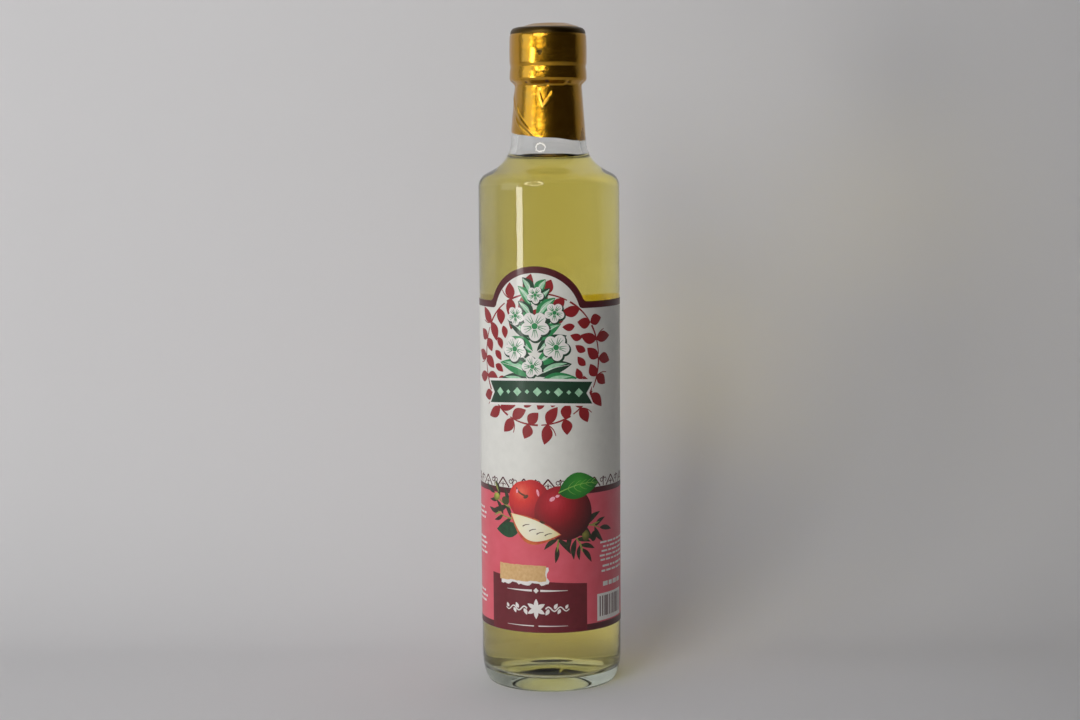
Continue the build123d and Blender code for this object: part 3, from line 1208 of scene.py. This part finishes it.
@dataclass
class FruitPicture:
    """Two red fruits with a cut wedge, a broad leaf and olive sprigs."""

    label: Label
    large: Point = (5.6, 51.0)
    small: Point = (-9.6, 56.6)

    def fruit(self, centre: Point, radius: float, turn: float = 0.0) -> Outline:
        """Round fruit with a dimple at its top and a narrower foot.

        Args:
            centre: its middle.
            radius: its radius.
            turn: degrees that it leans.
        Returns:
            Its outline.
        """
        out = []
        for i in range(56):
            a = math.tau * i / 56
            size = radius * (1 - 0.07 * math.exp(-((a - math.pi / 2) / 0.28) ** 2) + 0.03 * math.cos(2 * a)
                             - 0.035 * math.exp(-((a - 1.5 * math.pi) / 0.5) ** 2))
            b = a + math.radians(turn)
            out.append((centre[0] + size * math.cos(b), centre[1] + size * math.sin(b)))
        return out

    def sprig(self, start: Point, end: Point, pairs: int, length: float) -> tuple[list[Outline], Outline]:
        """Narrow paired leaves along a stem, with a leaf at its end.

        Args:
            start: foot of the stem.
            end: tip of the stem.
            pairs: number of pairs.
            length: of the lowest leaves.
        Returns:
            The leaves and the stem.
        """
        run = Vector(end) - Vector(start)
        turn = math.degrees(math.atan2(run.y, run.x))
        leaves = []
        for i in range(pairs):
            foot = Vector(start) + run * ((i + 0.4) / pairs)
            for side in (-1, 1):
                size = length * (1 - 0.25 * i / pairs) * (1 + 0.1 * math.sin(3 * i + side))
                leaves.append(leaf(tuple(foot), size, size * 0.27, turn + side * (46 - 4 * i), 0.08 * side))
        leaves.append(leaf(end, length * 0.9, length * 0.25, turn, 0.05))
        return leaves, stroke(bow(start, end, 0.06), 0.7, 0.4)

    def build(self) -> None:
        """Sprigs at the back, then the fruits, the leaf and the wedge."""
        label = self.label
        sprigs = [((-17.5, 52.5), (-27.0, 58.0), 2, 8.2), ((-16.0, 48.0), (-24.5, 50.0), 2, 7.6),
                  ((8.0, 43.0), (13.5, 35.5), 3, 8.6), ((13.0, 45.5), (22.5, 43.5), 2, 8.8),
                  ((3.0, 42.0), (2.5, 37.0), 1, 8.0)]
        leaves, stems = [], []
        for start, end, pairs, length in sprigs:
            found, stem = self.sprig(start, end, pairs, length)
            leaves += found
            stems.append(stem)
        label.wrap("sprig_leaves", leaves, Ink.OLIVE_DARK.material(), 2)
        lit = [((-24.5, 58.6), 118.0), ((-23.0, 50.6), 205.0), ((12.4, 38.5), 285.0),
               ((17.5, 45.0), 12.0), ((3.2, 39.5), 262.0)]
        glints = [leaf(foot, 5.2, 0.8, turn) for foot, turn in lit]
        label.wrap("sprig_glints", glints + stems, Ink.OLIVE_LIGHT.material(), 3)
        olive = RoundShading("printed olive", (-25.5, 57.4), 3.2,
                             ((0.0, "#C3C45A"), (0.5, "#8A8F33"), (1.0, "#3E4318")), 0.05)
        olives = [oval((-25.8, 56.6), 4.0, 3.2, 20), oval((-20.6, 55.4), 4.0, 3.4, -20)]
        label.wrap("olives_left", olives, olive.material(), 4)
        shaded = RoundShading("printed shaded olive", (14.6, 41.4), 3.6,
                              ((0.0, "#8F8B3C"), (0.6, "#56561F"), (1.0, "#23250F")), 0.05)
        olives = [oval((15.2, 40.8), 3.4, 5.0, 8), oval((19.2, 40.2), 3.0, 4.4, -12)]
        label.wrap("olives_right", olives, shaded.material(), 4)
        behind = leaf((-13.0, 44.6), 13.0, 6.6, 188.0, 0.05)
        label.wrap("leaf_behind", [behind], Ink.DEEP_GREEN.material(), 3)
        bright = RoundShading("printed bright red fruit", (-12.6, 59.6), 14.0,
                              ((0.0, "#F0664A"), (0.3, "#D9281E"), (0.6, "#B81420"), (1.0, "#6E0A16")), 0.1)
        label.wrap("small_fruit", [self.fruit(self.small, 8.9, 12)], bright.material(), 4)
        deep = RoundShading("printed deep red fruit", (1.4, 55.6), 18.0,
                            ((0.0, "#C92A38"), (0.3, "#A5101F"), (0.62, "#74070F"), (1.0, "#3A0308")), 0.09)
        label.wrap("large_fruit", [self.fruit(self.large, 12.2, -8)], deep.material(), 5)
        stem = [stroke(bow((-11.0, 58.2), (-15.0, 61.4), 0.12), 0.8, 0.55), oval((-10.6, 57.8), 2.4, 1.4, 30)]
        label.wrap("fruit_stem", stem, Ink.STEM.material(), 6)
        shines = [oval((0.6, 57.0), 2.6, 1.6, 35), oval((2.8, 58.2), 1.8, 1.1, 20),
                  oval((-5.4, 59.6), 1.0, 3.0, 14), oval((-14.6, 60.0), 0.9, 1.7, -10)]
        label.wrap("fruit_shine", shines, Ink.SHINE.material(), 6)
        broad = RoundShading("printed broad leaf", (12.5, 63.0), 12.0,
                             ((0.0, "#3FA02C"), (0.45, "#1E7A22"), (1.0, "#0A4416")), 0.1)
        label.wrap("broad_leaf", [leaf((3.2, 59.6), 19.0, 11.0, 10.0, 0.07)], broad.material(), 6)
        ribs = [stroke(bow((3.2, 59.6), (21.4, 63.0), 0.08), 0.45, 0.15)]
        for k in range(1, 6):
            base = (4.5 + 2.7 * k, 60.6 + 0.55 * k)
            ribs += [stroke(bow(base, (base[0] + 3.0, base[1] + 3.6 - 0.4 * k), 0.1, 4), 0.22, 0.1),
                     stroke(bow(base, (base[0] + 3.2, base[1] - 2.9 + 0.4 * k), -0.1, 4), 0.22, 0.1)]
        label.wrap("broad_leaf_ribs", ribs, Ink.YELLOW_GREEN.material(), 7)
        self.wedge()

    def wedge(self) -> None:
        """Cut wedge: red skin below, cream flesh, and the brown edge of its core."""
        label = self.label
        spine = bow((-17.2, 50.6), (3.6, 41.6), -0.16, 20)
        tips, cut_tips = ((-18.0, 50.4), (4.4, 41.8)), ((-17.6, 50.4), (3.9, 42.0))
        skin = bow(*tips, -0.36, 24) + bow(*tips, 0.10, 24)[::-1]
        flesh = bow(*cut_tips, -0.315, 24) + bow(*cut_tips, 0.075, 24)[::-1]
        label.wrap("wedge_skin", [skin], Ink.SKIN.material(), 6)
        cream = RoundShading("printed cut flesh", (-8.0, 44.4), 14.0,
                             ((0.0, "#F6F1DC"), (0.6, "#F1E8BE"), (1.0, "#E8C66A")), 0.06)
        label.wrap("wedge_flesh", [flesh], cream.material(), 7)
        core = [stroke(bow((s, z), (s + 3.0, z + 0.9), 0.1, 4), 0.5, 0.2) for s, z in spine[6:16:3]]
        core.append(oval((-3.6, 47.2), 2.6, 1.1, -22))
        label.wrap("wedge_core", core, Ink.STEM.material(), 8)


@dataclass
class TitlePanel:
    """Maroon panel with white ornament, and a torn kraft scrap over its corner."""

    label: Label
    left: float = -28.7
    right: float = 15.7
    seed: int = 4

    def torn(self, left: float, low: float, right: float, high: float, rough: float) -> Outline:
        """Scrap with torn edges.

        Args:
            left, low: its lower left corner.
            right, high: its upper right corner.
            rough: how far the tear strays.
        Returns:
            Its outline.
        """
        draw = random.Random(self.seed)
        bottom = [(left + (right - left) * i / 22, low + draw.uniform(-rough, rough)) for i in range(23)]
        top = [(left + (right - left) * i / 22, high + draw.uniform(-rough, rough) * 0.5) for i in range(23)]
        side = [(right + draw.uniform(-rough, rough), low + (high - low) * i / 5) for i in range(1, 5)]
        return bottom + side + top[::-1]

    def build(self) -> None:
        """Panel, scrap, ornament and the striped white box beside them."""
        label = self.label
        panel = [(self.left, 0.2), (self.right, 0.2), (self.right, 20.5), (self.left, 24.0)]
        label.wrap("title_panel", [panel], Ink.WINE.material(), 2)
        ragged, face = self.torn(-23.2, 20.6, -1.2, 28.2, 0.75), self.torn(-24.0, 21.9, -2.2, 28.7, 0.28)
        label.wrap("scrap_torn_edge", [ragged], Ink.WHITE.material(), 3)
        label.wrap("kraft_scrap", [face], Ink.KRAFT.material(), 4)
        marks: list[Outline] = []
        centre = (self.left + self.right) / 2
        for side in (-1, 1):
            marks.append(stroke([(centre + side * 1.8, 18.0), (centre + side * 13.5, 18.0)], 0.9, 0.15))
            marks.append(stroke([(centre + side * 1.0, 2.9), (centre + side * 13.5, 2.9)], 0.5, 0.12))
            waves = [i / 24 for i in range(25)]
            vine = [(centre + side * (4.0 + 10.0 * u), 10.2 + 0.9 * math.sin(4 * math.pi * u)) for u in waves]
            marks.append(stroke(vine, 0.65, 0.4))
            for k in range(4):
                foot = (centre + side * (5.4 + 2.4 * k), 10.2)
                up = 1 if k % 2 else -1
                marks.append(leaf(foot, 3.0 - 0.3 * k, 1.6 - 0.12 * k, 90 * up - side * 28, 0.05))
        marks += [[(centre - 1.2, 18.0), (centre, 16.8), (centre + 1.2, 18.0), (centre, 19.2)]]
        for k in range(6):
            marks.append(leaf((centre, 10.2), 4.3, 1.9, 60 * k + 30))
        label.wrap("title_ornament", marks, Ink.WHITE.material(), 3)
        label.wrap("stripe_box", [block(21.0, 3.4, 40.0, 15.0)], Ink.WHITE.material(), 2)
        bars, x, draw = [], 22.4, random.Random(9)
        while x < 38.6:
            width = draw.choice((0.35, 0.6, 0.95))
            bars.append(block(x, 5.2, x + width, 13.9))
            x += width + draw.choice((0.4, 0.65, 0.95))
        label.wrap("stripe_bars", bars, Ink.MAROON.material(), 3)


@dataclass
class SmallPrint:
    """Rows of short bars where a label carries its fine text, without a letter in them."""

    label: Label

    def rows(self, left: float, top: float, width: float, count: int, pitch: float,
             seed: int) -> list[Outline]:
        """Paragraph of word-like bars.

        Args:
            left: its left edge along the paper.
            top: height of its first row.
            width: of the paragraph.
            count: number of rows.
            pitch: from row to row.
            seed: of the bars' random lengths.
        Returns:
            The bars.
        """
        draw, bars = random.Random(seed), []
        for row in range(count):
            x, z = left + draw.uniform(0, width * 0.12), top - row * pitch
            while x < left + width - 1.5:
                long = min(draw.uniform(1.4, 4.6), left + width - x)
                bars.append(block(x, z, x + long, z + pitch * 0.42))
                x += long + 0.7
        return bars

    def build(self) -> None:
        """Light rows on the rose field, dark rows on the white back."""
        light = self.rows(22.5, 36.5, 22.0, 5, 1.9, 1) + self.rows(22.0, 26.2, 20.0, 2, 2.1, 2)
        light += self.rows(24.0, 18.0, 17.0, 1, 4.6, 3) + self.rows(-47.0, 50.0, 12.5, 3, 2.1, 4)
        light += self.rows(-50.0, 37.0, 16.0, 4, 2.1, 5) + self.rows(-48.0, 14.0, 14.0, 3, 2.1, 6)
        light += self.rows(56.0, 52.0, 26.0, 12, 2.2, 7) + self.rows(-92.0, 52.0, 32.0, 20, 2.2, 8)
        self.label.wrap("small_print_light", light, Ink.WHITE.material(), 2)
        dark = self.rows(54.0, 128.0, 28.0, 16, 2.6, 10) + self.rows(-92.0, 128.0, 32.0, 18, 2.6, 11)
        self.label.wrap("small_print_dark", dark, Ink.MAROON.material(), 1)


# ------------------------------------------------------------------ studio
@dataclass
class Studio:
    """Paper sweep, soft lights from the left and the camera."""

    camera_place: tuple[float, float, float] = (0.0, -0.875, 0.2294)
    pitch: float = -5.926
    yaw: float = 0.2786
    roll: float = -0.3885
    lens: float = 68.31

    def camera(self) -> None:
        """Camera in front, a little above the shoulder."""
        data = bpy.data.cameras.new("camera")
        data.lens, data.sensor_width = self.lens, 36.0
        rig = bpy.data.objects.new("camera", data)
        turn = Matrix.Translation(self.camera_place)
        for degrees, axis in ((self.yaw, "Z"), (90 + self.pitch, "X"), (self.roll, "Z")):
            turn = turn @ Matrix.Rotation(math.radians(degrees), 4, axis)
        rig.matrix_world = turn
        bpy.context.scene.collection.objects.link(rig)
        bpy.context.scene.camera = rig

    def sweep(self) -> None:
        """Seamless grey paper close behind the bottle, with a painted pool of light in its colour, clear when
        seen from its back.
        """
        corners = [(-2.4, 0.0), (0.16, 0.0), (0.19, 1.7)]
        line = rounded_path(corners, [0.12], 0.012)
        points, faces = [], []
        for y, z in line:
            points += [(-2.2 / MM, y / MM, z / MM), (2.2 / MM, y / MM, z / MM)]
        for i in range(len(line) - 1):
            faces.append((2 * i, 2 * i + 1, 2 * i + 3, 2 * i + 2))
        material, tree, out = new_material("matt grey backdrop paper")
        place = add_node(tree, "ShaderNodeTexCoord").outputs["Object"]
        across = add_node(tree, "ShaderNodeSeparateXYZ", {0: place})
        # Painted light: the paper's colour is lightest in a band just behind the bottle and darker towards
        # both sides, a painted pool of light.
        shade = add_node(tree, "ShaderNodeMapRange",
                         {"Value": across.outputs["X"], "From Min": -0.25, "From Max": 0.3})
        colour = ramp(tree, shade.outputs["Result"], [(0.0, "#DEDDDE"), (0.5, "#E7E6E7"), (1.0, "#DCDBDC")])
        paper = add_node(tree, "ShaderNodeBsdfDiffuse", {"Color": colour})
        clear = add_node(tree, "ShaderNodeBsdfTransparent")
        side = add_node(tree, "ShaderNodeNewGeometry")
        mix = add_node(tree, "ShaderNodeMixShader",
                       {0: side.outputs["Backfacing"], 1: paper.outputs[0], 2: clear.outputs[0]})
        tree.links.new(mix.outputs[0], out.inputs["Surface"])
        backdrop = mesh_object("backdrop", points, faces, material)

    def lamp(self, name: str, turn: float, rise: float, away: float, size: Point, power: float,
             tint: str, glossy: bool = True) -> None:
        """Area lamp aimed at the bottle.

        Args:
            name: its name.
            turn: degrees to the left of the front.
            rise: degrees above the shoulder.
            away: distance in metres.
            size: width and height in metres.
            power: watts.
            tint: colour.
            glossy: whether gloss mirrors the lamp.
        """
        data = bpy.data.lights.new(name, "AREA")
        data.shape = "RECTANGLE"
        data.size, data.size_y, data.energy, data.color = *size, power, linear(tint)[:3]
        lamp = bpy.data.objects.new(name, data)
        a, e = math.radians(turn), math.radians(rise)
        aim = Vector((0.0, 0.0, 0.2))
        back = Vector((-math.sin(a) * math.cos(e), -math.cos(a) * math.cos(e), math.sin(e)))
        lamp.location = aim + back * away
        lamp.rotation_mode = "QUATERNION"
        lamp.rotation_quaternion = (-back).to_track_quat("-Z", "Y")
        lamp.visible_camera = lamp.visible_transmission = False
        lamp.visible_glossy = glossy
        bpy.context.scene.collection.objects.link(lamp)

    def ring(self) -> None:
        """Thin bright ring above the front left, seen only as small rings in the glass."""
        turn, rise, away, radius, tube = math.radians(26), math.radians(27), 1.0, 0.23, 0.028
        back = Vector((-math.sin(turn) * math.cos(rise), -math.cos(turn) * math.cos(rise), math.sin(rise)))
        centre = Vector((0.0, 0.0, 0.22)) + back * away
        frame_turn = (-back).to_track_quat("-Z", "Y").to_matrix()
        points, faces, around, across = [], [], 48, 8
        for i in range(around):
            a = math.tau * i / around
            for j in range(across):
                b = math.tau * j / across
                r = radius + tube * math.cos(b)
                spot = Vector((r * math.cos(a), r * math.sin(a), tube * math.sin(b)))
                points.append(tuple((centre + frame_turn @ spot) / MM))
                faces.append((i * across + j, ((i + 1) % around) * across + j,
                              ((i + 1) % around) * across + (j + 1) % across, i * across + (j + 1) % across))
        material, tree, out = new_material("ring lamp")
        glow = add_node(tree, "ShaderNodeEmission", {"Color": linear("#FFF8E8"), "Strength": 14.0})
        tree.links.new(glow.outputs[0], out.inputs["Surface"])
        piece = mesh_object("ring_lamp", points, faces, material)
        piece.visible_camera = piece.visible_transmission = piece.visible_diffuse = False

    def world(self) -> None:
        """Dim room, lighter and cooler on the left, pale grey where the camera sees it."""
        world = bpy.data.worlds.new("room")
        bpy.context.scene.world = world
        world.use_nodes = True
        tree = world.node_tree
        tree.nodes.clear()
        out = tree.nodes.new("ShaderNodeOutputWorld")
        way = add_node(tree, "ShaderNodeTexCoord").outputs["Generated"]
        lean = add_node(tree, "ShaderNodeVectorMath", {0: way, 1: (-0.85, 0.5, 0.15)},
                        operation="DOT_PRODUCT")
        share = add_node(tree, "ShaderNodeMapRange",
                         {"Value": lean.outputs["Value"], "From Min": -1.0, "From Max": 1.0})
        colour = ramp(tree, share.outputs["Result"],
                      [(0.15, "#302B26"), (0.42, "#454546"), (0.7, "#74777C"), (1.0, "#989CA2")])
        rays = add_node(tree, "ShaderNodeLightPath")
        room = add_node(tree, "ShaderNodeBackground", {"Color": colour, "Strength": 1.0})
        seen = add_node(tree, "ShaderNodeBackground", {"Color": linear("#B9B8BA"), "Strength": 1.0})
        mix = add_node(tree, "ShaderNodeMixShader",
                       {0: rays.outputs["Is Camera Ray"], 1: room.outputs[0], 2: seen.outputs[0]})
        tree.links.new(mix.outputs[0], out.inputs["Surface"])

    def build(self) -> None:
        """Set up the sweep, the lights, the camera and a plain view."""
        self.camera()
        self.sweep()
        self.world()
        self.lamp("ring_lamp_light", 27, 24, 1.2, (0.55, 0.55), 7.4, "#FFFEFC", glossy=False)
        self.lamp("side_window", 66, 16, 1.4, (0.8, 0.8), 2.4, "#F2F7FF")
        self.lamp("window_gap", 48, -1, 1.4, (0.25, 0.42), 3.2, "#FFFCF8")
        self.ring()
        bpy.context.scene.view_settings.view_transform = "Standard"


def main() -> None:
    """Build the bottle from its glass outwards, then the studio."""
    logging.basicConfig(level=logging.INFO, format="%(message)s")
    bottle = Bottle()
    bottle.build()
    Contents(bottle).build()
    Closure().build()
    Capsule(bottle).build()
    label = Label()
    label.build()
    for motif in (LeafWreath, GreenSpray, BlankRibbon, KilimBorder, FruitPicture, TitlePanel, SmallPrint):
        motif(label).build()
    Studio().build()


if __name__ == "__main__":
    main()
